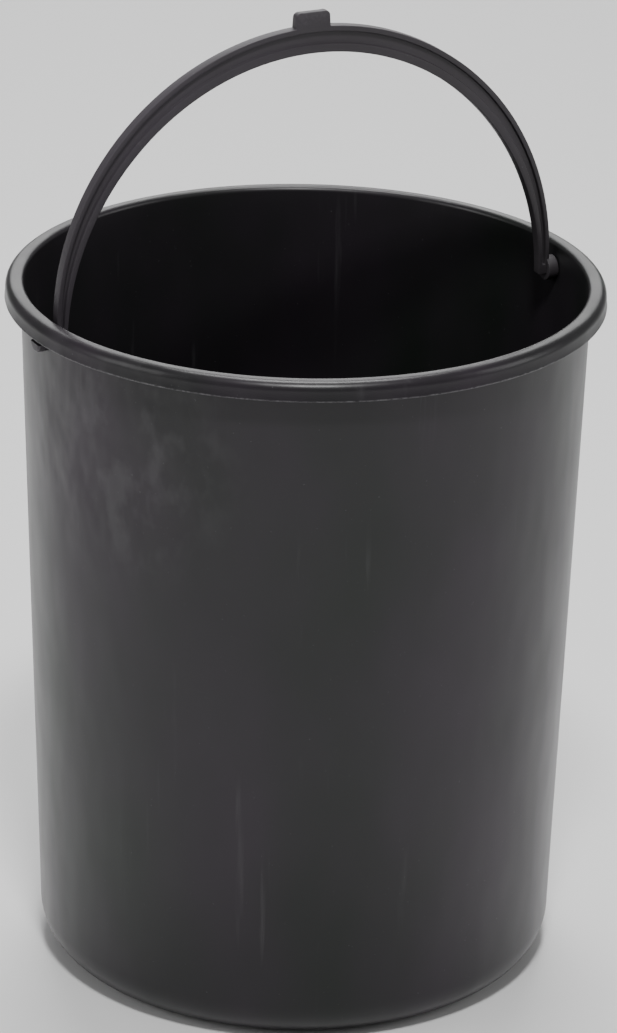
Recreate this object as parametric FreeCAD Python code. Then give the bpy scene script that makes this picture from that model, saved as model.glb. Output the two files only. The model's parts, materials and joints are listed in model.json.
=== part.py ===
"""Moulded plastic bucket with a swinging bail handle, modelled as its two mouldings.

Frame: millimetres, +Z up, origin at the centre of the base plane, hinge axis along X.
The handle is modelled upright, in the XZ plane.
"""
import FreeCAD, Part
import math
import os

V = FreeCAD.Vector

# --- bucket: shell -------------------------------------------------------------------
TOTAL_HEIGHT = 313.7        # base plane to the top of the rim
WALL = 1.6                  # thickness of wall, floor and rim skirt
BASE_R = 114.0              # outer wall radius extended down to the base plane
NECK_R = 123.4              # outer wall radius level with the skirt's lower edge
CORNER_R = 20.0             # outer radius between wall and base
FOOT_RING = 8.0             # width of the flat ring that the bucket stands on
PANEL_LIFT = 1.5            # how far the panel inside the foot ring is raised

# --- bucket: rolled rim --------------------------------------------------------------
RIM_R = 130.0               # outer radius where the crest's rounding meets the skirt
RIM_DROP = 8.3              # rim top to the skirt's lower edge
ROLL_IN_R = 2.2             # rounding from the inner wall to the flat crest
ROLL_OUT_R = 4.0            # rounding from the flat crest to the skirt
SKIRT_FLARE = 0.4           # how far the skirt widens towards its lower edge

# --- hinge ---------------------------------------------------------------------------
PIVOT_DROP = 11.4           # rim top down to the hinge axis
HOLE_R = 4.0                # round hole in the wall
PIN_R = 3.95                # pin, a running fit in the hole
COLLAR_R = 5.5              # spacer disc between leg and wall
HEAD_R = 4.75               # snap head outside the wall
HEAD_LONG = 3.8             # head, along the axis
HEAD_CHAMFER = 0.9
SLOT = 1.4                  # split that lets the head squeeze through the hole
SLOT_DEEP = 6.0
WALL_GAP = 0.35             # clearance from collar and head to the curved wall

# --- handle --------------------------------------------------------------------------
THICK = 5.0                 # across the plane of the handle
OUTER_R = 117.9             # outer edge of the arch
OUTER_RISE = 6.6            # centre of that arc above the hinge axis
INNER_R = 111.0             # inner edge over the crown
INNER_RISE = 2.0
FLANK_ANGLE = 50.0          # below this angle the inner edge follows a flatter arc
FLANK_FLATTER = 5.85        # how much larger the radius of that arc is
FOOT_DROP = 2.0             # foot's square end below the hinge axis
WEB = 1.8                   # sunken web between the ribs along the two edges
POCKET_OUT_R = 116.0        # where the web meets the outer rib
POCKET_OUT_RISE = 6.1
POCKET_IN_R = 114.7         # where the web meets the inner rib
POCKET_IN_RISE = 2.0
POCKET_FOOT = 2.4           # the web starts this far above the hinge axis
EDGE_R = 0.8                # rounding along the ribs

# --- thumb tab -----------------------------------------------------------------------
TAB_WIDE = 16.0
TAB_TOP = 131.0             # above the hinge axis
TAB_TOP_THICK = 3.2
TAB_CORNER = 2.0

PIVOT_Z = TOTAL_HEIGHT - PIVOT_DROP
SKIRT_Z = TOTAL_HEIGHT - RIM_DROP
TAPER = math.atan((NECK_R - BASE_R) / SKIRT_Z)
HALF = THICK / 2


def line(a, b):
    return Part.LineSegment(a, b).toShape()


def arc(centre, radius, start, end, plane):
    """Arc from angle start to angle end, in degrees, mapped to space by plane(u, v)."""
    points = []
    for angle in (start, (start + end) / 2, end):
        turn = math.radians(angle)
        points.append(plane(centre[0] + radius * math.cos(turn), centre[1] + radius * math.sin(turn)))
    return Part.Arc(*points).toShape()


def radial(r, z):
    """A point of a profile that is turned about the bucket's axis."""
    return V(r, 0, z)


def flat(x, z):
    """A point in the plane of the handle, with z counted from the hinge axis."""
    return V(x, 0, PIVOT_Z + z)


def closed_face(edges):
    return Part.Face(Part.Wire(Part.__sortEdges__(edges)))


def wall_outer_radius(z):
    return BASE_R + z * math.tan(TAPER)


def make_bucket():
    """Tapered shell, raised base panel and hollow rolled rim, turned in one profile."""
    slope = math.degrees(TAPER)
    tangent = CORNER_R / math.tan(math.pi / 4 + TAPER / 2)
    corner = (BASE_R - tangent, CORNER_R)
    ring_in = corner[0] - FOOT_RING
    step = WALL * math.tan(math.pi / 8)

    def at(radius, angle):
        turn = math.radians(angle)
        return radial(corner[0] + radius * math.cos(turn), corner[1] + radius * math.sin(turn))

    roll_in_z = TOTAL_HEIGHT - ROLL_IN_R
    inner_top = wall_outer_radius(roll_in_z) - WALL / math.cos(TAPER)
    roll_in = (inner_top + ROLL_IN_R, roll_in_z)
    roll_out = (RIM_R - ROLL_OUT_R, TOTAL_HEIGHT - ROLL_OUT_R)
    hollow_top = TOTAL_HEIGHT - WALL
    skirt_r = RIM_R + SKIRT_FLARE

    outside = [
        line(radial(0, PANEL_LIFT), radial(ring_in - PANEL_LIFT, PANEL_LIFT)),
        line(radial(ring_in - PANEL_LIFT, PANEL_LIFT), radial(ring_in, 0)),
        line(radial(ring_in, 0), radial(corner[0], 0)),
        arc(corner, CORNER_R, -90, -slope, radial),
        line(at(CORNER_R, -slope), radial(inner_top + WALL, roll_in_z)),
    ]
    rim = [
        arc(roll_in, ROLL_IN_R - WALL, 180, 90, radial),
        line(radial(roll_in[0], hollow_top), radial(roll_out[0], hollow_top)),
        arc(roll_out, ROLL_OUT_R - WALL, 90, 0, radial),
        line(radial(RIM_R - WALL, roll_out[1]), radial(skirt_r - WALL, SKIRT_Z)),
        line(radial(skirt_r - WALL, SKIRT_Z), radial(skirt_r, SKIRT_Z)),
        line(radial(skirt_r, SKIRT_Z), radial(RIM_R, roll_out[1])),
        arc(roll_out, ROLL_OUT_R, 0, 90, radial),
        line(radial(roll_out[0], TOTAL_HEIGHT), radial(roll_in[0], TOTAL_HEIGHT)),
        arc(roll_in, ROLL_IN_R, 90, 180, radial),
    ]
    inside = [
        line(radial(inner_top, roll_in_z), at(CORNER_R - WALL, -slope)),
        arc(corner, CORNER_R - WALL, -slope, -90, radial),
        line(radial(corner[0], WALL), radial(ring_in + step, WALL)),
        line(radial(ring_in + step, WALL), radial(ring_in + step - PANEL_LIFT, WALL + PANEL_LIFT)),
        line(radial(ring_in + step - PANEL_LIFT, WALL + PANEL_LIFT), radial(0, WALL + PANEL_LIFT)),
        line(radial(0, WALL + PANEL_LIFT), radial(0, PANEL_LIFT)),
    ]
    section = closed_face(outside + rim + inside)
    shell = section.revolve(V(0, 0, 0), V(0, 0, 1), 360)
    for side in (1, -1):
        start = V(side * (NECK_R - 4 * WALL), 0, PIVOT_Z)
        hole = Part.makeCylinder(HOLE_R, 6 * WALL, start, V(side, 0, 0))
        shell = shell.cut(hole)
    return shell


def arch_outline():
    """Closed outline of the arch with its two straight legs."""
    turn = math.radians(FLANK_ANGLE)
    flank_r = INNER_R + FLANK_FLATTER
    flank_x = -FLANK_FLATTER * math.cos(turn)
    flank_z = INNER_RISE - FLANK_FLATTER * math.sin(turn)
    foot_angle = math.degrees(math.asin((-FOOT_DROP - flank_z) / flank_r))
    foot_x = flank_x + flank_r * math.cos(math.radians(foot_angle))
    edges = [
        arc((0, OUTER_RISE), OUTER_R, 0, 180, flat),
        arc((0, INNER_RISE), INNER_R, FLANK_ANGLE, 180 - FLANK_ANGLE, flat),
        arc((flank_x, flank_z), flank_r, foot_angle, FLANK_ANGLE, flat),
        arc((-flank_x, flank_z), flank_r, 180 - FLANK_ANGLE, 180 - foot_angle, flat),
    ]
    for side in (1, -1):
        edges.append(line(flat(side * OUTER_R, OUTER_RISE), flat(side * OUTER_R, -FOOT_DROP)))
        edges.append(line(flat(side * OUTER_R, -FOOT_DROP), flat(side * foot_x, -FOOT_DROP)))
    return closed_face(edges)


def pocket_outline():
    """Closed outline of the sunken web, which narrows from the crown to the legs."""
    foot_angle = math.degrees(math.asin((POCKET_FOOT - POCKET_IN_RISE) / POCKET_IN_R))
    foot_x = POCKET_IN_R * math.cos(math.radians(foot_angle))
    edges = [
        arc((0, POCKET_OUT_RISE), POCKET_OUT_R, 0, 180, flat),
        arc((0, POCKET_IN_RISE), POCKET_IN_R, foot_angle, 180 - foot_angle, flat),
    ]
    for side in (1, -1):
        edges.append(line(flat(side * POCKET_OUT_R, POCKET_OUT_RISE), flat(side * POCKET_OUT_R, POCKET_FOOT)))
        edges.append(line(flat(side * POCKET_OUT_R, POCKET_FOOT), flat(side * foot_x, POCKET_FOOT)))
    return closed_face(edges)


def make_tab():
    """Thumb tab on the crown, drafted in thickness and with rounded upper corners."""
    root = POCKET_OUT_RISE + POCKET_OUT_R
    shoulder = OUTER_RISE + OUTER_R
    half_top = TAB_TOP_THICK / 2
    across = [(-HALF, root), (-HALF, shoulder), (-half_top, TAB_TOP)]
    across += [(-y, z) for y, z in reversed(across)]
    points = [V(-TAB_WIDE / 2, y, PIVOT_Z + z) for y, z in across]
    wedge = Part.Face(Part.makePolygon(points + points[:1])).extrude(V(TAB_WIDE, 0, 0))

    edge = TAB_WIDE / 2
    turn_x = edge - TAB_CORNER
    turn_z = TAB_TOP - TAB_CORNER
    front = closed_face([
        line(flat(-edge, root), flat(edge, root)),
        line(flat(edge, root), flat(edge, turn_z)),
        arc((turn_x, turn_z), TAB_CORNER, 0, 90, flat),
        line(flat(turn_x, TAB_TOP), flat(-turn_x, TAB_TOP)),
        arc((-turn_x, turn_z), TAB_CORNER, 90, 180, flat),
        line(flat(-edge, turn_z), flat(-edge, root)),
    ])
    front.translate(V(0, -THICK, 0))
    return wedge.common(front.extrude(V(0, 2 * THICK, 0)))


def make_hinge_end(side):
    """Spacer collar, pin and split snap head on the outer face of one leg."""
    axis = V(side, 0, 0)
    wall_in = wall_outer_radius(PIVOT_Z) - WALL / math.cos(TAPER)
    collar_end = wall_in - WALL_GAP
    head_start = wall_outer_radius(PIVOT_Z) + WALL_GAP

    def disc(radius, start, end):
        return Part.makeCylinder(radius, end - start, V(side * start, 0, PIVOT_Z), axis)

    head = disc(HEAD_R, head_start, head_start + HEAD_LONG - HEAD_CHAMFER)
    lead_in = Part.makeCone(HEAD_R, HEAD_R - HEAD_CHAMFER, HEAD_CHAMFER,
                            V(side * (head_start + HEAD_LONG - HEAD_CHAMFER), 0, PIVOT_Z), axis)
    # The collar reaches a little way into the leg, so that the two join solidly.
    collar = disc(COLLAR_R, OUTER_R - HALF / 2, collar_end)
    pin = disc(PIN_R, OUTER_R, head_start + HEAD_LONG / 2)
    tip = head_start + HEAD_LONG
    low_x = tip - SLOT_DEEP if side > 0 else -tip
    split = Part.makeBox(SLOT_DEEP, 4 * HEAD_R, SLOT, V(low_x, -2 * HEAD_R, PIVOT_Z - SLOT / 2))
    return collar.fuse([pin, head, lead_in]).cut(split)


def long_rib_edges(shape):
    """Edges of the arch's outer and inner outline on its two broad faces."""
    chosen = []
    for edge in shape.Edges:
        box = edge.BoundBox
        on_face = box.YLength < 1e-6 and abs(abs(box.YMin) - HALF) < 1e-6
        if on_face and edge.Length > THICK:
            chosen.append(edge)
    return chosen


def make_handle():
    """Bail with two ribs and a sunken web, thumb tab and snap hinges, in one moulding."""
    outline = arch_outline()
    outline.translate(V(0, -HALF, 0))
    arch = outline.extrude(V(0, THICK, 0))
    arch = arch.makeFillet(EDGE_R, long_rib_edges(arch))
    pocket = pocket_outline()
    for side in (1, -1):
        cut = pocket.copy()
        cut.translate(V(0, side * WEB / 2, 0))
        arch = arch.cut(cut.extrude(V(0, side * THICK, 0)))
    handle = arch.fuse([make_tab(), make_hinge_end(1), make_hinge_end(-1)])
    return handle.removeSplitter()


def main():
    os.makedirs("parts", exist_ok=True)
    parts = {"bucket": make_bucket(), "handle": make_handle()}
    for name, shape in parts.items():
        print(name, shape.isValid(), len(shape.Solids), round(shape.Volume / 1000, 1), "cm3", shape.BoundBox)
        shape.exportStep("parts/" + name + ".step")


main()
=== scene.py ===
"""Looks of a moulded black plastic feed bucket with a swinging bail handle, laid out as an add-on."""
import json
import math

import bmesh
import bpy
from bpy.props import FloatProperty, FloatVectorProperty, IntProperty, PointerProperty
from bpy.types import Operator, Panel, PropertyGroup
from mathutils import Matrix, Quaternion, Vector, noise

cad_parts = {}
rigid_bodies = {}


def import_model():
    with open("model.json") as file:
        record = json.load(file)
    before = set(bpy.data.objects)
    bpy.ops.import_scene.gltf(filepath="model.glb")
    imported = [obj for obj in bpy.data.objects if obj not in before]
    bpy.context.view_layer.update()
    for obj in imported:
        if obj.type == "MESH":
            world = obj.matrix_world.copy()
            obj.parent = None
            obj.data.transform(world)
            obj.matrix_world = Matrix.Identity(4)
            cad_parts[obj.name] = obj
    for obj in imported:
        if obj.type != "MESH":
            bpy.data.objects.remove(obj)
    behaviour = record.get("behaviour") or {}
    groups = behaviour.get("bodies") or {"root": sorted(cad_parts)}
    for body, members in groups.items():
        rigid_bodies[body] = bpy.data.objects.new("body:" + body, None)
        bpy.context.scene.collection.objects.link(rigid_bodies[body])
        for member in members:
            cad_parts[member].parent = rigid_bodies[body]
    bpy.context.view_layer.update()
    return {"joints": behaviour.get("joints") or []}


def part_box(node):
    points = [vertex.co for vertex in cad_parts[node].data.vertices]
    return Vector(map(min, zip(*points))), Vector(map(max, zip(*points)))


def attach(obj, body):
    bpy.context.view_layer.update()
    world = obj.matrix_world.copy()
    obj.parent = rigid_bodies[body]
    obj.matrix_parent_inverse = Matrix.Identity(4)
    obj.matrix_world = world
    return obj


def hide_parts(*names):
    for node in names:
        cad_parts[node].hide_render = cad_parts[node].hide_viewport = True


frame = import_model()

bl_info = {
    "name": "Feed Bucket",
    "version": (1, 0, 0),
    "blender": (4, 5, 0),
    "location": "View3D > Sidebar > Feed Bucket",
    "description": "Builds a moulded feed bucket and its bail handle around their fixed frame",
    "category": "Add Mesh",
}

MM = 0.001
BUCKET_LOW, BUCKET_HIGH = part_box("bucket")
HANDLE_LOW, HANDLE_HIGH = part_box("handle")
HINGE = frame["joints"][0]
PIVOT = Vector(HINGE["pos_m"])
BUCKET_BODY = HINGE["parent"]
HANDLE_BODY = HINGE["child"]
WEAR_AND_HIGHLIGHT = "wear_and_highlight"
WELD = 0.01 * MM
HINGE_STEPS = 48
TAB_WEAR = 0.25
# Painted highlight: the parting line is painted lighter, broken by grain, where its edge catches light.
FLASH_HIGHLIGHT = 1.0
FOOT_WEAR = 0.8


def length(name, description, millimetres):
    """A size property, with its default given in millimetres."""
    return FloatProperty(name=name, description=description, default=millimetres * MM,
                         min=0.0, precision=5, unit="LENGTH", subtype="DISTANCE")


def angle(name, description, degrees):
    """An angle property, with its default given in degrees."""
    return FloatProperty(name=name, description=description, default=math.radians(degrees),
                         unit="ROTATION", subtype="ANGLE")


def colour(name, description, value):
    """A colour property."""
    return FloatVectorProperty(name=name, description=description, default=value,
                               min=0.0, max=1.0, size=3, subtype="COLOR")


def amount(name, description, value):
    """A plain number property."""
    return FloatProperty(name=name, description=description, default=value, min=0.0)


class FEEDBUCKET_PG_shell(PropertyGroup):
    """Sizes of the bucket moulding."""
    wall: length("Wall", "Thickness of wall, floor and rim skirt", 1.6)
    base_radius: length("Base radius", "Outer wall radius extended down to the base plane", 114.0)
    neck_radius: length("Neck radius", "Outer wall radius level with the skirt's lower edge", 123.4)
    corner_radius: length("Corner radius", "Outer rounding between wall and base", 20.0)
    foot_ring: length("Foot ring", "Width of the flat ring that the bucket stands on", 8.0)
    panel_lift: length("Panel lift", "How far the panel inside the foot ring is raised", 1.5)
    rim_drop: length("Rim drop", "Rim crest down to the skirt's lower edge", 8.3)
    roll_in: length("Inner roll", "Rounding from the inner wall to the flat crest", 2.2)
    roll_out: length("Outer roll", "Rounding from the flat crest to the skirt", 4.0)
    skirt_flare: length("Skirt flare", "How far the skirt widens towards its lower edge", 0.2)
    flash: length("Flash", "How far the parting line stands out at the skirt's lower edge", 0.2)
    flash_tip: length("Flash tip", "Parting line's tip above the skirt's lower edge", 0.30)
    flash_root: length("Flash root", "The parting line runs out this far above that edge", 0.85)
    flash_sink: length("Flash sink", "Its root lies this far inside the skirt's outer face", 0.02)
    ripple: length("Ripple", "Unevenness of the moulded wall", 0.12)
    hole_radius: length("Hole radius", "Hinge hole in the wall", 4.0)
    steps: IntProperty(name="Steps", description="Divisions around the bucket", default=256, min=48)
    rows: IntProperty(name="Rows", description="Divisions up the wall", default=48, min=4)


class FEEDBUCKET_PG_bail(PropertyGroup):
    """Sizes of the handle moulding."""
    outer_radius: length("Outer radius", "Outer edge of the arch", 117.9)
    outer_rise: length("Outer rise", "Centre of that arc above the hinge axis", 6.6)
    inner_radius: length("Inner radius", "Inner edge over the crown", 111.0)
    inner_rise: length("Inner rise", "Centre of that arc above the hinge axis", 2.0)
    flank_angle: angle("Flank angle", "Below this angle the inner edge follows a flatter arc", 50.0)
    flank_flatter: length("Flank flatter", "How much larger the radius of that arc is", 5.85)
    web_out_radius: length("Web outer radius", "Where the web meets the outer rib", 116.0)
    web_out_rise: length("Web outer rise", "Centre of that arc above the hinge axis", 6.1)
    web_in_radius: length("Web inner radius", "Where the web meets the inner rib", 114.7)
    web_in_rise: length("Web inner rise", "Centre of that arc above the hinge axis", 2.0)
    thickness: length("Thickness", "Across the plane of the handle", 5.0)
    web: length("Web", "Thickness of the sunken web between the ribs", 1.8)
    web_foot: length("Web foot", "The web starts this far above the hinge axis", 2.4)
    pocket_draft: length("Pocket draft", "How far a pocket narrows towards the web", 0.2)
    edge: length("Edge", "Rounding along the outline", 0.7)
    pocket_edge: length("Pocket edge", "Rounding of the pocket's edges", 0.4)
    tab_width: length("Tab width", "Width of the thumb tab", 16.0)
    tab_top_thick: length("Tab top", "Thickness of the thumb tab at its top", 3.2)
    tab_corner: length("Tab corner", "Rounding of the tab's upper corners", 2.0)
    tab_worn: length("Tab worn", "Height of the rubbed strip at the tab's top", 1.0)
    collar_radius: length("Collar radius", "Spacer disc between leg and wall", 5.5)
    pin_radius: length("Pin radius", "Pin in the wall's hole", 3.95)
    head_radius: length("Head radius", "Snap head outside the wall", 4.75)
    head_chamfer: length("Head chamfer", "Lead-in on the snap head", 0.9)
    head_long: length("Head length", "Snap head along the axis", 3.8)
    wall_gap: length("Wall gap", "Clearance from collar and head to the wall", 0.35)
    hinge_root: length("Hinge root", "How far the collar's root reaches into the leg", 1.25)
    collar_round: length("Collar rounding", "Rounding of the collar's rims", 0.4)
    head_round: length("Head rounding", "Rounding of the snap head's rims", 0.25)
    slot: length("Slot", "Split through the snap head", 1.4)
    slot_deep: length("Slot depth", "How far the split runs in from the tip", 6.0)
    foot_drop: length("Foot drop", "Square end of a leg below the hinge axis", 2.0)
    steps: IntProperty(name="Steps", description="Divisions along one flank", default=40, min=8)


class FEEDBUCKET_PG_plastic(PropertyGroup):
    """Colour and finish of the black plastic."""
    black: colour("Black", "Main colour of the bucket", (0.0098, 0.0116, 0.0104))
    bloom: colour("Bloom", "Slightly lighter, warmer zones of the bucket", (0.0220, 0.0160, 0.0230))
    bail_black: colour("Handle black", "Main colour of the handle", (0.0340, 0.0305, 0.0340))
    bail_bloom: colour("Handle bloom", "Lighter zones of the handle", (0.0460, 0.0400, 0.0480))
    # Also the colour of the painted reflection smears and of the painted highlight on the parting line.
    rubbed: colour("Rubbed", "Scuffs, worn edges and dust", (0.120, 0.117, 0.123))
    # Wall patch with mottled reflections: lighter smears are painted into its colour, and its skin gets real
    # knocks.
    mottled_reflection_place: FloatVectorProperty(
        name="Scuffed place", description="Middle of the most handled part of the wall",
        default=(-0.111, -0.047, 0.268), size=3, subtype="TRANSLATION")
    mottled_reflection_reach: length("Scuffed reach", "Scuffs fade out this far from that place", 75.0)
    roughness: amount("Roughness", "Average roughness of the bucket's skin", 0.34)
    bail_roughness: amount("Handle roughness", "Average roughness of the handle's skin", 0.50)
    gloss: amount("Gloss", "Specular level of the skin", 0.35)
    rub: amount("Rub", "Strength of the rubbed streaks", 0.35)
    # Strength of the painted reflection smears.
    painted_reflection_strength: amount("Scuff", "Strength of the smears in the scuffed place", 0.15)
    waves: length("Waves", "Depth of the waves in the bucket's skin", 1.1)
    bail_waves: length("Handle waves", "Depth of the waves in the handle's skin", 0.25)
    peel: length("Orange peel", "Depth of the fine grain of the skin", 0.012)


class FEEDBUCKET_PG_stage(PropertyGroup):
    """Camera, floor and lights."""
    azimuth: angle("Azimuth", "Camera heading, turned from looking along +Y", 26.08)
    elevation: angle("Elevation", "How far the camera looks down", 22.2)
    roll: angle("Roll", "Camera turned about its own line of sight", 1.195)
    aim_height: length("Aim height", "Height of the point that the camera looks at", 202.0)
    aim_side: length("Aim side", "How far that point lies to the right of the bucket's axis", 3.1)
    distance: length("Distance", "Camera to that point", 2290.7)
    lens: FloatProperty(name="Lens", description="Focal length in millimetres", default=181.2, min=1.0)
    floor_size: length("Floor size", "Side of the floor", 14000.0)
    floor: colour("Floor", "Pale floor", (0.80, 0.80, 0.80))
    sky: colour("Sky", "Light from the white room", (1.0, 1.0, 1.0))
    sky_strength: amount("Sky strength", "Strength of that light", 0.2)


class FEEDBUCKET_PG_settings(PropertyGroup):
    """Everything a user can change."""
    shell: PointerProperty(type=FEEDBUCKET_PG_shell)
    bail: PointerProperty(type=FEEDBUCKET_PG_bail)
    plastic: PointerProperty(type=FEEDBUCKET_PG_plastic)
    stage: PointerProperty(type=FEEDBUCKET_PG_stage)


# --- mesh helpers ---------------------------------------------------------------------

def add_piece(name, bm, material, body, node=None):
    """Turns a bmesh into a finished piece that rides on a body of the frame."""
    mesh = bpy.data.meshes.new(name)
    bm.to_mesh(mesh)
    bm.free()
    piece = bpy.data.objects.new(name, mesh)
    bpy.context.scene.collection.objects.link(piece)
    mesh.materials.append(material)
    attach(piece, body)
    if node:
        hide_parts(node)
    return piece


def shade(bm, limit=math.radians(38)):
    """Smooth faces, with a sharp edge wherever the surface turns by more than the limit."""
    for face in bm.faces:
        face.smooth = True
    for edge in bm.edges:
        edge.smooth = edge.is_manifold and edge.calc_face_angle(0.0) < limit


def combine(bm, other, operation):
    """Boolean of two closed meshes. Returns a new bmesh and frees both."""
    objects = []
    for part in (bm, other):
        mesh = bpy.data.meshes.new("boolean")
        part.to_mesh(mesh)
        part.free()
        objects.append(bpy.data.objects.new("boolean", mesh))
        bpy.context.scene.collection.objects.link(objects[-1])
    base, tool = objects
    modifier = base.modifiers.new("Boolean", "BOOLEAN")
    modifier.operation = operation
    modifier.solver = "EXACT"
    modifier.object = tool
    graph = bpy.context.evaluated_depsgraph_get()
    result = bpy.data.meshes.new_from_object(base.evaluated_get(graph))
    joined = bmesh.new()
    joined.from_mesh(result)
    for item in objects:
        data = item.data
        bpy.data.objects.remove(item)
        bpy.data.meshes.remove(data)
    bpy.data.meshes.remove(result)
    return joined


def profile_line(bm, points):
    """A wire through profile points given as (radius, height). Returns its vertices."""
    first = bmesh.ops.create_vert(bm, co=(points[0][0], 0, points[0][1]))["vert"][0]
    chain = [first]
    for radius, height in points[1:]:
        grown = bmesh.ops.extrude_vert_indiv(bm, verts=[chain[-1]])["verts"][0]
        grown.co = (radius, 0, height)
        chain.append(grown)
    return chain


def round_corner(bm, corner, radius, segments):
    """Rounds one corner of a wire to the given radius."""
    one, two = (edge.other_vert(corner).co - corner.co for edge in corner.link_edges)
    half_turn = (math.pi - one.angle(two)) / 2
    bmesh.ops.bevel(bm, geom=[corner], affect="VERTICES", offset=radius * math.tan(half_turn),
                    offset_type="OFFSET", segments=segments, profile=0.5, material=-1)


def turn_about_z(bm, steps):
    """Turns the wire in a bmesh once about the Z axis and closes seam and poles."""
    bmesh.ops.spin(bm, geom=bm.verts[:] + bm.edges[:], cent=(0, 0, 0), axis=(0, 0, 1),
                   dvec=(0, 0, 0), angle=math.tau, steps=steps, use_merge=True, use_duplicate=False)
    bmesh.ops.remove_doubles(bm, verts=bm.verts[:], dist=0.005 * MM)
    bmesh.ops.recalc_face_normals(bm, faces=bm.faces[:])


# --- bucket ---------------------------------------------------------------------------

def wall_radius(size, height):
    """Outer radius of the tapered wall at a height."""
    neck = BUCKET_HIGH.z - size.rim_drop
    return size.base_radius + (size.neck_radius - size.base_radius) * height / neck


def shell_profile(bm, size):
    """Section of the bucket, from the axis under the panel, over the rim, to the axis inside."""
    top = BUCKET_HIGH.z
    skirt = top - size.rim_drop
    skirt_out = BUCKET_HIGH.x - size.flash
    rim = skirt_out - size.skirt_flare
    taper = math.atan((size.neck_radius - size.base_radius) / skirt)
    inner_shift = size.wall / math.cos(taper)
    inner_top = wall_radius(size, top) - inner_shift
    ring_out = size.base_radius - size.corner_radius / math.tan(math.pi / 4 + taper / 2)
    ring_in = ring_out - size.foot_ring
    step = size.wall * math.tan(math.pi / 8)
    lift = size.panel_lift
    points = {
        "under_axis": (0, lift),
        "panel_edge": (ring_in - lift, lift),
        "ring_inner": (ring_in, 0),
        "base_corner": (size.base_radius, 0),
        "hollow_inner": (wall_radius(size, top - size.wall), top - size.wall),
        "hollow_outer": (rim - size.wall, top - size.wall),
        "skirt_inner": (skirt_out - size.wall, skirt),
        "skirt_outer": (skirt_out, skirt),
        "flash_tip": (skirt_out + size.flash, skirt + size.flash_tip),
        "flash_root": (skirt_out - size.flash_sink, skirt + size.flash_root),
        "crest_outer": (rim, top),
        "crest_inner": (inner_top, top),
        "floor_corner": (wall_radius(size, size.wall) - inner_shift, size.wall),
        "floor_ring": (ring_in + step, size.wall),
        "floor_step": (ring_in + step - lift, size.wall + lift),
        "floor_axis": (0, size.wall + lift),
    }
    chain = profile_line(bm, list(points.values()))
    corner = dict(zip(points, chain))
    wall_edges = []
    for low, high in (("base_corner", "hollow_inner"), ("crest_inner", "floor_corner")):
        wall_edges.append((corner[low].co.copy(), corner[high].co.copy()))
    rounds = (
        ("panel_edge", 1.0 * MM, 3),
        ("ring_inner", 0.6 * MM, 3),
        ("base_corner", size.corner_radius, 20),
        ("hollow_inner", size.roll_in - size.wall, 3),
        ("hollow_outer", size.roll_out - size.wall, 4),
        ("skirt_inner", 0.3 * MM, 2),
        ("crest_outer", size.roll_out, 10),
        ("crest_inner", size.roll_in, 8),
        ("floor_corner", size.corner_radius - size.wall, 18),
        ("floor_ring", 1.0 * MM, 3),
        ("floor_step", 0.6 * MM, 3),
    )
    for name, radius, segments in rounds:
        round_corner(bm, corner[name], radius, segments)
    long_edges = [edge for edge in bm.edges if edge.calc_length() > 0.5 * skirt]
    bmesh.ops.subdivide_edges(bm, edges=long_edges, cuts=size.rows)


def uneven_wall(bm, size):
    """Low ripples in the moulded wall, and a parting line that stands out unevenly."""
    top = BUCKET_HIGH.z
    skirt = top - size.rim_drop
    skirt_out = BUCKET_HIGH.x - size.flash
    wear_and_highlight = bm.verts.layers.float.new(WEAR_AND_HIGHLIGHT)
    for vert in bm.verts:
        radius = math.hypot(vert.co.x, vert.co.y)
        outward = Vector((vert.co.x, vert.co.y, 0)).normalized()
        if size.corner_radius < vert.co.z < skirt - 6 * MM:
            above = (vert.co.z - size.corner_radius) / (30 * MM)
            below = (skirt - 6 * MM - vert.co.z) / (30 * MM)
            fade = min(1.0, above, below)
            wave = noise.noise(Vector((vert.co.x * 16, vert.co.y * 16, vert.co.z * 9)))
            vert.co += outward * size.ripple * fade * wave
        if radius > skirt_out + 0.5 * size.flash and vert.co.z < skirt + 0.4 * MM:
            turn = math.atan2(vert.co.y, vert.co.x)
            ragged = noise.noise(Vector((math.cos(turn) * 14, math.sin(turn) * 14, 3.0)))
            fine = noise.noise(Vector((math.cos(turn) * 55, math.sin(turn) * 55, 7.0)))
            stand = min(0.0, 0.55 * ragged + 0.35 * fine - 0.15)
            vert.co += outward * size.flash * stand
            # Painted highlight along the parting line.
            vert[wear_and_highlight] = FLASH_HIGHLIGHT
        elif vert.co.z < 2.5 * MM and radius > size.base_radius - size.corner_radius:
            vert[wear_and_highlight] = FOOT_WEAR


def build_shell(settings):
    """The bucket moulding, with its two hinge holes."""
    size = settings.shell
    bm = bmesh.new()
    shell_profile(bm, size)
    turn_about_z(bm, size.steps)
    uneven_wall(bm, size)
    holes = bmesh.new()
    span = Matrix.Rotation(math.pi / 2, 4, "Y")
    for side in (1, -1):
        centre = Matrix.Translation(PIVOT + Vector((side * (size.neck_radius - size.wall / 2), 0, 0)))
        bmesh.ops.create_cone(holes, cap_ends=True, segments=HINGE_STEPS, radius1=size.hole_radius,
                              radius2=size.hole_radius, depth=6 * size.wall, matrix=centre @ span)
    bm = combine(bm, holes, "DIFFERENCE")
    shade(bm)
    return bm


# --- handle ---------------------------------------------------------------------------

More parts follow.
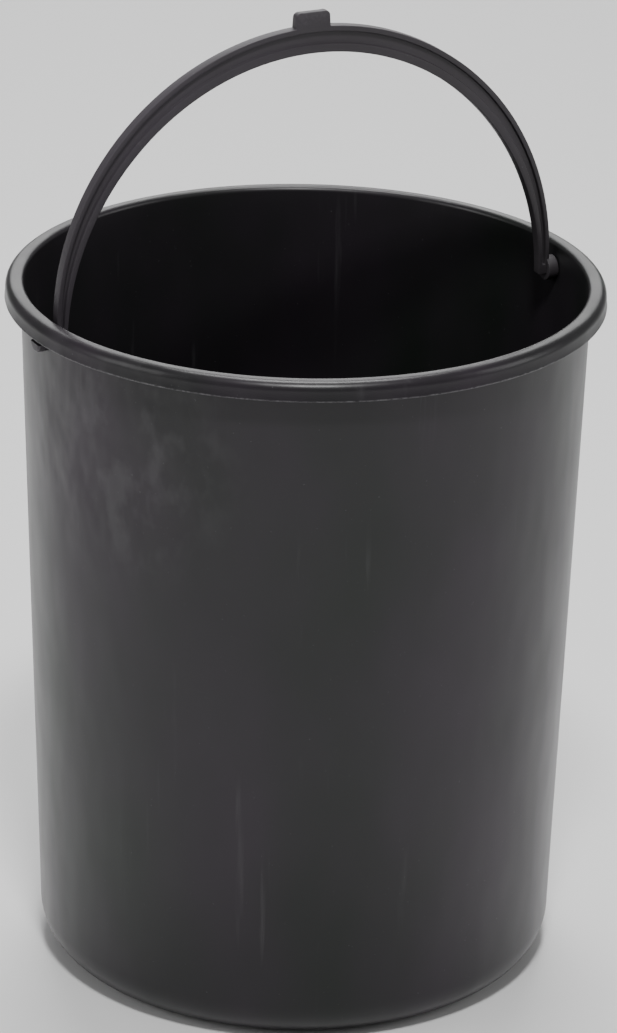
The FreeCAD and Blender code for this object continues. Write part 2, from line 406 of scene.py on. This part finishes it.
def rail(bm, start, moves):
    """A wire in the plane of the handle, grown by straight moves and by turns about centres."""
    tip = bmesh.ops.create_vert(bm, co=start)["vert"][0]
    grown = [tip]
    for kind, target, turn, steps in moves:
        if kind == "line":
            tip = bmesh.ops.extrude_vert_indiv(bm, verts=[tip])["verts"][0]
            tip.co = target
            grown.append(tip)
            continue
        known = set(bm.verts)
        bmesh.ops.spin(bm, geom=[tip], cent=target, axis=(0, -1, 0), dvec=(0, 0, 0), angle=turn,
                       steps=steps, use_merge=False, use_duplicate=False)
        fresh = [vert for vert in bm.verts if vert not in known]
        fresh.sort(key=lambda vert: -vert.co.x)
        grown += fresh
        tip = fresh[-1]
    edges = [edge for edge in bm.edges if edge.verts[0] in grown and edge.verts[1] in grown]
    return edges


def outer_rail(bm, size, radius, rise, tab_angle):
    """Right half of a curve along the outer edge: up the leg, then an arc to the crown."""
    centre = PIVOT + Vector((0, 0, rise))
    return rail(bm, (radius, 0, PIVOT.z - size.foot_drop), [
        ("line", (radius, 0, PIVOT.z + size.web_foot), 0, 0),
        ("line", (radius, 0, centre.z), 0, 0),
        ("arc", centre, math.pi / 2 - tab_angle, 2 * size.steps),
        ("arc", centre, tab_angle, 4),
    ])


def inner_rail(bm, size, radius, rise, flatter, tab_angle):
    """Right half of a curve along the inner edge: a flatter flank, then the crown's arc."""
    turn = size.flank_angle
    crown = PIVOT + Vector((0, 0, rise))
    flank = crown - flatter * Vector((math.cos(turn), 0, math.sin(turn)))

    def on_flank(height):
        """The flank's point at a height above the hinge axis, and its angle."""
        at = math.asin((PIVOT.z + height - flank.z) / (radius + flatter))
        return flank + (radius + flatter) * Vector((math.cos(at), 0, math.sin(at))), at

    foot, _ = on_flank(-size.foot_drop)
    web_foot, _ = on_flank(size.web_foot)
    shoulder, start = on_flank(size.outer_rise)
    return rail(bm, foot, [
        ("line", web_foot, 0, 0),
        ("line", shoulder, 0, 0),
        ("arc", flank, turn - start, size.steps),
        ("arc", crown, math.pi / 2 - tab_angle - turn, size.steps),
        ("arc", crown, tab_angle, 4),
    ])


def bail_sheet(bm, size):
    """Flat sheet of the arch in its own plane: outer rib, web and inner rib side by side."""
    tab_angle = math.asin(size.tab_width / 2 / size.outer_radius)
    rails = [
        outer_rail(bm, size, size.outer_radius, size.outer_rise, tab_angle),
        outer_rail(bm, size, size.web_out_radius, size.web_out_rise, tab_angle),
        inner_rail(bm, size, size.web_in_radius, size.web_in_rise, 0, tab_angle),
        inner_rail(bm, size, size.inner_radius, size.inner_rise, size.flank_flatter, tab_angle),
    ]
    web_tag = bm.faces.layers.int.new("web")
    bands = []
    for one, two in zip(rails, rails[1:]):
        bands.append(bmesh.ops.bridge_loops(bm, edges=one + two)["faces"])
    for face in bands[1]:
        if face.calc_center_median().z > PIVOT.z + size.web_foot:
            face[web_tag] = 1
    bmesh.ops.mirror(bm, geom=bm.verts[:] + bm.edges[:] + bm.faces[:], axis="X", merge_dist=WELD)
    bmesh.ops.remove_doubles(bm, verts=bm.verts[:], dist=WELD)
    bmesh.ops.recalc_face_normals(bm, faces=bm.faces[:])
    return web_tag


def sharp_edges(bm, limit=math.radians(30), keep=None):
    """Edges where the surface turns by more than the limit."""
    found = []
    for edge in bm.edges:
        if edge.is_manifold and edge.calc_face_angle(0.0) > limit and (keep is None or keep(edge)):
            found.append(edge)
    return found


def raise_tab(bm, size):
    """Thumb tab, drawn up from the outer rib over the crown."""
    half_width = size.tab_width / 2
    roof = []
    for face in bm.faces:
        centre = face.calc_center_median()
        across = abs(face.normal.y) < 0.5 and face.normal.z > 0.5
        if across and abs(centre.x) < half_width and centre.z > PIVOT.z + size.outer_radius:
            roof.append(face)
    grown = bmesh.ops.extrude_face_region(bm, geom=roof)["geom"]
    bmesh.ops.delete(bm, geom=roof, context="FACES")
    top = [item for item in grown if isinstance(item, bmesh.types.BMVert)]
    for vert in top:
        vert.co.z = HANDLE_HIGH.z
        vert.co.y *= size.tab_top_thick / size.thickness
    near = 5 * WELD
    ends = [vert for vert in top if abs(abs(vert.co.x) - half_width) < near]
    corners = []
    for edge in bm.edges:
        one, two = edge.verts
        if one in ends and two in ends and abs(one.co.x - two.co.x) < near:
            corners.append(edge)
    bmesh.ops.bevel(bm, geom=corners, affect="EDGES", offset=size.tab_corner, offset_type="OFFSET",
                    segments=6, profile=0.5, material=-1)


def build_bail(size):
    """The arch as a plain plate with its thumb tab. Faces over the web carry a tag."""
    bm = bmesh.new()
    web_tag = bail_sheet(bm, size)
    bmesh.ops.translate(bm, verts=bm.verts[:], vec=(0, -size.thickness / 2, 0))
    grown = bmesh.ops.extrude_face_region(bm, geom=bm.faces[:], use_keep_orig=True)["geom"]
    back = [item for item in grown if isinstance(item, bmesh.types.BMVert)]
    bmesh.ops.translate(bm, verts=back, vec=(0, size.thickness, 0))
    bmesh.ops.recalc_face_normals(bm, faces=bm.faces[:])
    raise_tab(bm, size)
    return bm, web_tag


def finish_bail(bm, web_tag, size):
    """Rounded outline, then the two pockets that leave the web, with small rounded edges."""
    outline = sharp_edges(bm)
    bmesh.ops.bevel(bm, geom=outline, affect="EDGES", offset=size.edge, offset_type="OFFSET",
                    segments=3, profile=0.5, clamp_overlap=True, material=-1)
    for side in (1, -1):
        pocket = [face for face in bm.faces if face[web_tag] and face.normal.y * side > 0.9]
        bmesh.ops.inset_region(bm, faces=pocket, thickness=size.pocket_draft, depth=0.0,
                               use_boundary=True, use_even_offset=True)
        for face in pocket:
            for vert in face.verts:
                vert.co.y = side * size.web / 2
        bm.normal_update()
    rims = sharp_edges(bm, keep=lambda edge: any(face[web_tag] for face in edge.link_faces)
                       or edge_in_pocket(edge, size))
    bmesh.ops.bevel(bm, geom=rims, affect="EDGES", offset=size.pocket_edge, offset_type="OFFSET",
                    segments=2, profile=0.5, clamp_overlap=False, material=-1)


def edge_in_pocket(edge, size):
    """True for the edge between a rib's broad face and the pocket's wall."""
    flat_ends = all(abs(abs(vert.co.y) - size.thickness / 2) < WELD for vert in edge.verts)
    slopes = [abs(face.normal.y) for face in edge.link_faces]
    return flat_ends and min(slopes) < 0.6


def hinge_end(size, shell, side):
    """Collar, pin and split snap head on one leg, turned about the hinge axis."""
    outer = wall_radius(shell, PIVOT.z)
    inner = outer - shell.wall
    tip = outer + size.wall_gap + size.head_long
    root = size.outer_radius - size.hinge_root
    bm = bmesh.new()
    chain = profile_line(bm, [
        (0, root),
        (size.collar_radius, root),
        (size.collar_radius, inner - size.wall_gap),
        (size.pin_radius, inner - size.wall_gap),
        (size.pin_radius, outer + size.wall_gap),
        (size.head_radius, outer + size.wall_gap),
        (size.head_radius, tip - size.head_chamfer),
        (size.head_radius - size.head_chamfer, tip),
        (0, tip),
    ])
    for index in (2, 1):
        round_corner(bm, chain[index], size.collar_round, 3)
    for index in (5, 6, 7):
        round_corner(bm, chain[index], size.head_round, 2)
    turn_about_z(bm, HINGE_STEPS)
    half_step = Matrix.Rotation(math.pi / HINGE_STEPS, 4, "Z")
    lay = Matrix.Rotation(side * math.pi / 2, 4, "Y")
    bmesh.ops.transform(bm, matrix=Matrix.Translation(PIVOT) @ lay @ half_step, verts=bm.verts[:])
    split = bmesh.new()
    middle = PIVOT + Vector((side * tip, 0, 0))
    grow = Matrix.Diagonal((2 * size.slot_deep, 4 * size.head_radius, size.slot, 1))
    bmesh.ops.create_cube(split, size=1, matrix=Matrix.Translation(middle) @ grow)
    return combine(bm, split, "DIFFERENCE")


def build_handle(settings):
    """The whole handle moulding as one closed mesh."""
    size = settings.bail
    bm, web_tag = build_bail(size)
    finish_bail(bm, web_tag, size)
    for side in (1, -1):
        bm = combine(bm, hinge_end(size, settings.shell, side), "UNION")
    bmesh.ops.remove_doubles(bm, verts=bm.verts[:], dist=0.002 * MM)
    wear_and_highlight = bm.verts.layers.float.new(WEAR_AND_HIGHLIGHT)
    for vert in bm.verts:
        if vert.co.z > HANDLE_HIGH.z - size.tab_worn:
            vert[wear_and_highlight] = TAB_WEAR
    shade(bm)
    return bm


# --- materials ------------------------------------------------------------------------

def new_material(name):
    """An empty node material with its shader. Returns material, tree and shader node."""
    material = bpy.data.materials.new(name)
    material.use_nodes = True
    tree = material.node_tree
    shader = next(node for node in tree.nodes if node.type == "BSDF_PRINCIPLED")
    return material, tree, shader


def add(tree, kind, **values):
    """Adds a node and sets its inputs, by name with spaces as underscores, or its properties."""
    node = tree.nodes.new(kind)
    for key, value in values.items():
        title = key.replace("_", " ").title() if key[0].islower() else key
        if title in node.inputs:
            node.inputs[title].default_value = value
        else:
            setattr(node, key, value)
    return node


def stretched(tree, scale, seed=0.0):
    """Object coordinates, stretched by a scale per axis and moved by a seed."""
    place = add(tree, "ShaderNodeTexCoord")
    mapping = add(tree, "ShaderNodeMapping")
    mapping.inputs["Scale"].default_value = scale
    mapping.inputs["Location"].default_value = (seed, 1.7 * seed, 0.6 * seed)
    tree.links.new(place.outputs["Object"], mapping.inputs["Vector"])
    return mapping.outputs["Vector"]


def cloud(tree, scale, detail=2.0, seed=0.0, low=0.0, high=1.0, to_low=0.0, to_high=1.0):
    """Noise on object coordinates, mapped from low..high to to_low..to_high."""
    texture = add(tree, "ShaderNodeTexNoise", scale=1.0, detail=detail, roughness=0.55)
    tree.links.new(stretched(tree, scale, seed), texture.inputs["Vector"])
    spread = add(tree, "ShaderNodeMapRange")
    for title, value in zip(("From Min", "From Max", "To Min", "To Max"), (low, high, to_low, to_high)):
        spread.inputs[title].default_value = value
    tree.links.new(texture.outputs["Fac"], spread.inputs["Value"])
    return spread.outputs["Result"]


def combine_values(tree, one, two, operation="ADD"):
    """Clamped arithmetic on two sockets or numbers."""
    node = add(tree, "ShaderNodeMath")
    node.operation = operation
    node.use_clamp = True
    for socket, value in zip(node.inputs, (one, two)):
        if isinstance(value, (int, float)):
            socket.default_value = value
        else:
            tree.links.new(value, socket)
    return node.outputs["Value"]


def tint(tree, factor, one, two):
    """Mixes two colours, each a socket or a value."""
    node = tree.nodes.new("ShaderNodeMix")
    node.data_type = "RGBA"
    sockets = {"A": one, "B": two}
    for title, value in sockets.items():
        socket = next(s for s in node.inputs if s.name == title and s.type == "RGBA")
        if isinstance(value, bpy.types.NodeSocket):
            tree.links.new(value, socket)
        else:
            socket.default_value = (*value, 1.0)
    tree.links.new(factor, node.inputs["Factor"])
    return next(s for s in node.outputs if s.type == "RGBA")


def dent(tree, height, depth, normal=None):
    """Bump of the given depth, in metres, on top of another bump."""
    node = tree.nodes.new("ShaderNodeBump")
    node.inputs["Strength"].default_value = 1.0
    node.inputs["Distance"].default_value = depth
    tree.links.new(height, node.inputs["Height"])
    if normal is not None:
        tree.links.new(normal, node.inputs["Normal"])
    return node.outputs["Normal"]


def near_place(tree, place, reach):
    """One at a place in object coordinates, fading to zero at the reach."""
    here = add(tree, "ShaderNodeTexCoord")
    apart = tree.nodes.new("ShaderNodeVectorMath")
    apart.operation = "DISTANCE"
    apart.inputs[1].default_value = place
    tree.links.new(here.outputs["Object"], apart.inputs[0])
    fade = tree.nodes.new("ShaderNodeMapRange")
    fade.interpolation_type = "SMOOTHSTEP"
    for title, value in zip(("From Min", "From Max", "To Min", "To Max"), (0.35 * reach, reach, 1.0, 0.0)):
        fade.inputs[title].default_value = value
    tree.links.new(apart.outputs["Value"], fade.inputs["Value"])
    return fade.outputs["Result"]


def moulded_plastic(name, look, skin_colours, roughness, ripple_depth, rub_scale, seed):
    """Black moulded plastic: cloudy tint, rubbed streaks, specks, a painted highlight on the parting line,
    painted reflection smears on one wall patch, and an uneven satin skin.
    """
    material, tree, shader = new_material(name)
    links = tree.links
    # Zone of the painted reflection smears and of the knocks in the skin.
    mottled_reflection_zone = near_place(tree, look.mottled_reflection_place, look.mottled_reflection_reach)
    haze = cloud(tree, (9, 9, 5), 3.0, seed, 0.35, 0.68)
    skin = tint(tree, haze, *skin_colours)

    streaks = cloud(tree, rub_scale, 4.0, seed + 3, 0.62, 0.80)
    patches = cloud(tree, (22, 22, 16), 2.0, seed + 5, 0.50, 0.72)
    rubbed = combine_values(tree, streaks, patches, "MULTIPLY")
    specks = cloud(tree, (900, 900, 900), 1.0, seed + 8, 0.76, 0.84, 0.0, 0.5)

    # Attribute carrying foot and tab wear and the painted highlight on the parting line.
    worn = tree.nodes.new("ShaderNodeAttribute")
    worn.attribute_name = WEAR_AND_HIGHLIGHT
    grain = cloud(tree, (700, 700, 700), 3.0, seed + 9, 0.35, 0.70)
    edge = combine_values(tree, worn.outputs["Fac"], grain, "MULTIPLY")

    # Painted reflection: lighter mottled smears over that wall patch.
    painted_reflection_smears = cloud(tree, (62, 62, 40), 3.0, seed + 21, 0.50, 0.64)
    painted_reflection_smears = combine_values(tree, combine_values(tree, painted_reflection_smears, mottled_reflection_zone, "MULTIPLY"), look.painted_reflection_strength, "MULTIPLY")
    # Wear marks, plus the painted highlight and the painted reflection.
    wear_and_painted_light = combine_values(tree, combine_values(tree, rubbed, look.rub, "MULTIPLY"), specks)
    wear_and_painted_light = combine_values(tree, combine_values(tree, wear_and_painted_light, edge), painted_reflection_smears)
    links.new(tint(tree, wear_and_painted_light, skin, look.rubbed), shader.inputs["Base Color"])

    level = cloud(tree, (13, 13, 8), 4.0, seed + 12, 0.30, 0.70, roughness - 0.05, roughness + 0.06)
    rough = combine_values(tree, level, combine_values(tree, wear_and_painted_light, 0.25, "MULTIPLY"))
    links.new(rough, shader.inputs["Roughness"])
    shader.inputs["Specular IOR Level"].default_value = look.gloss

    waves = dent(tree, cloud(tree, (24, 24, 13), 2.0, seed + 15), ripple_depth)
    knocks = combine_values(tree, cloud(tree, (42, 42, 26), 2.0, seed + 25, 0.35, 0.65), mottled_reflection_zone, "MULTIPLY")
    waves = dent(tree, knocks, 0.55 * ripple_depth, waves)
    orange_peel = dent(tree, cloud(tree, (520, 520, 520), 2.0, seed + 18), look.peel, waves)
    links.new(orange_peel, shader.inputs["Normal"])
    return material


# --- operators ------------------------------------------------------------------------

class FEEDBUCKET_OT_camera(Operator):
    """Adds the camera at the usual three-quarter view from above"""
    bl_idname = "feedbucket.camera"
    bl_label = "Camera"

    def execute(self, context):
        size = context.scene.feed_bucket.stage
        heading = size.azimuth
        along = Vector((math.sin(heading) * math.cos(size.elevation),
                        math.cos(heading) * math.cos(size.elevation),
                        -math.sin(size.elevation)))
        right = Vector((math.cos(heading), -math.sin(heading), 0))
        aim = right * size.aim_side + Vector((0, 0, size.aim_height))
        data = bpy.data.cameras.new("camera")
        data.lens = size.lens
        camera = bpy.data.objects.new("camera", data)
        context.scene.collection.objects.link(camera)
        turn = along.to_track_quat("-Z", "Y") @ Quaternion((0, 0, 1), size.roll)
        camera.matrix_world = Matrix.Translation(aim - along * size.distance) @ turn.to_matrix().to_4x4()
        context.scene.camera = camera
        return {"FINISHED"}


# Each soft light: name, place, point that it faces, width, height, watts.
SOFT_BOXES = (
    ("overhead", (0.35, 0.75, 2.3), (0, 0, 0.2), 0.8, 0.8, 38.0),
    ("behind", (1.3, 2.7, 1.6), (0, 0, 0.3), 2.6, 1.6, 38.0),
    ("left", (-2.2, 0.3, 1.1), (0, 0, 0.2), 1.0, 1.4, 14.0),
    ("right", (2.0, -1.2, 1.1), (0, 0, 0.2), 1.0, 1.4, 13.0),
    ("key", (-0.47, -1.16, 2.3), (0, 0, 0.3), 0.32, 0.32, 44.0),
)


class FEEDBUCKET_OT_stage(Operator):
    """Adds the pale floor and soft lights"""
    bl_idname = "feedbucket.stage"
    bl_label = "Stage"

    def execute(self, context):
        size = context.scene.feed_bucket.stage
        bm = bmesh.new()
        bmesh.ops.create_grid(bm, x_segments=1, y_segments=1, size=size.floor_size / 2)
        mesh = bpy.data.meshes.new("floor")
        bm.to_mesh(mesh)
        bm.free()
        floor = bpy.data.objects.new("floor", mesh)
        context.scene.collection.objects.link(floor)
        material, _, shader = new_material("pale_floor")
        shader.inputs["Base Color"].default_value = (*size.floor, 1.0)
        shader.inputs["Roughness"].default_value = 0.85
        mesh.materials.append(material)
        self.light_room(context, size)
        for name, place, aim, width, height, power in SOFT_BOXES:
            self.soft_box(context, name, place, aim, width, height, power)
        return {"FINISHED"}

    def light_room(self, context, size):
        world = bpy.data.worlds.new("white_room")
        world.use_nodes = True
        background = world.node_tree.nodes["Background"]
        background.inputs["Color"].default_value = (*size.sky, 1.0)
        background.inputs["Strength"].default_value = size.sky_strength
        context.scene.world = world

    def soft_box(self, context, name, place, aim, width, height, power):
        data = bpy.data.lights.new(name, "AREA")
        data.shape = "RECTANGLE"
        data.size = width
        data.size_y = height
        data.energy = power
        light = bpy.data.objects.new(name, data)
        context.scene.collection.objects.link(light)
        along = Vector(aim) - Vector(place)
        light.matrix_world = Matrix.Translation(place) @ along.to_track_quat("-Z", "Y").to_matrix().to_4x4()


class FEEDBUCKET_OT_bucket(Operator):
    """Adds the bucket moulding: tapered wall, raised panel and rolled rim"""
    bl_idname = "feedbucket.bucket"
    bl_label = "Bucket"

    def execute(self, context):
        settings = context.scene.feed_bucket
        look = settings.plastic
        skin = (look.black, look.bloom)
        material = moulded_plastic("bucket_black", look, skin, look.roughness, look.waves, (210, 210, 9), 0.0)
        add_piece("bucket_shell", build_shell(settings), material, BUCKET_BODY, "bucket")
        return {"FINISHED"}


class FEEDBUCKET_OT_handle(Operator):
    """Adds the handle moulding: ribbed bail, thumb tab and snap hinges"""
    bl_idname = "feedbucket.handle"
    bl_label = "Handle"

    def execute(self, context):
        settings = context.scene.feed_bucket
        look = settings.plastic
        skin = (look.bail_black, look.bail_bloom)
        rough = look.bail_roughness
        material = moulded_plastic("handle_black", look, skin, rough, look.bail_waves, (160, 160, 160), 40.0)
        add_piece("bail_handle", build_handle(settings), material, HANDLE_BODY, "handle")
        return {"FINISHED"}


class FEEDBUCKET_PT_sidebar(Panel):
    """Lists the steps and their sizes"""
    bl_idname = "FEEDBUCKET_PT_sidebar"
    bl_label = "Feed Bucket"
    bl_space_type = "VIEW_3D"
    bl_region_type = "UI"
    bl_category = "Feed Bucket"

    def draw(self, context):
        settings = context.scene.feed_bucket
        for operator, group in STEPS:
            box = self.layout.box()
            box.operator(operator)
            sizes = getattr(settings, group)
            for name in sizes.bl_rna.properties.keys():
                if name not in ("rna_type", "name"):
                    box.prop(sizes, name)


STEPS = (
    ("feedbucket.camera", "stage"),
    ("feedbucket.stage", "stage"),
    ("feedbucket.bucket", "shell"),
    ("feedbucket.handle", "bail"),
)
CLASSES = (
    FEEDBUCKET_PG_shell,
    FEEDBUCKET_PG_bail,
    FEEDBUCKET_PG_plastic,
    FEEDBUCKET_PG_stage,
    FEEDBUCKET_PG_settings,
    FEEDBUCKET_OT_camera,
    FEEDBUCKET_OT_stage,
    FEEDBUCKET_OT_bucket,
    FEEDBUCKET_OT_handle,
    FEEDBUCKET_PT_sidebar,
)


def register():
    for item in CLASSES:
        bpy.utils.register_class(item)
    bpy.types.Scene.feed_bucket = PointerProperty(type=FEEDBUCKET_PG_settings)


def unregister():
    del bpy.types.Scene.feed_bucket
    for item in reversed(CLASSES):
        bpy.utils.unregister_class(item)


def main():
    register()
    bpy.ops.feedbucket.camera()
    bpy.ops.feedbucket.stage()
    bpy.ops.feedbucket.bucket()
    bpy.ops.feedbucket.handle()


if __name__ == "__main__":
    main()
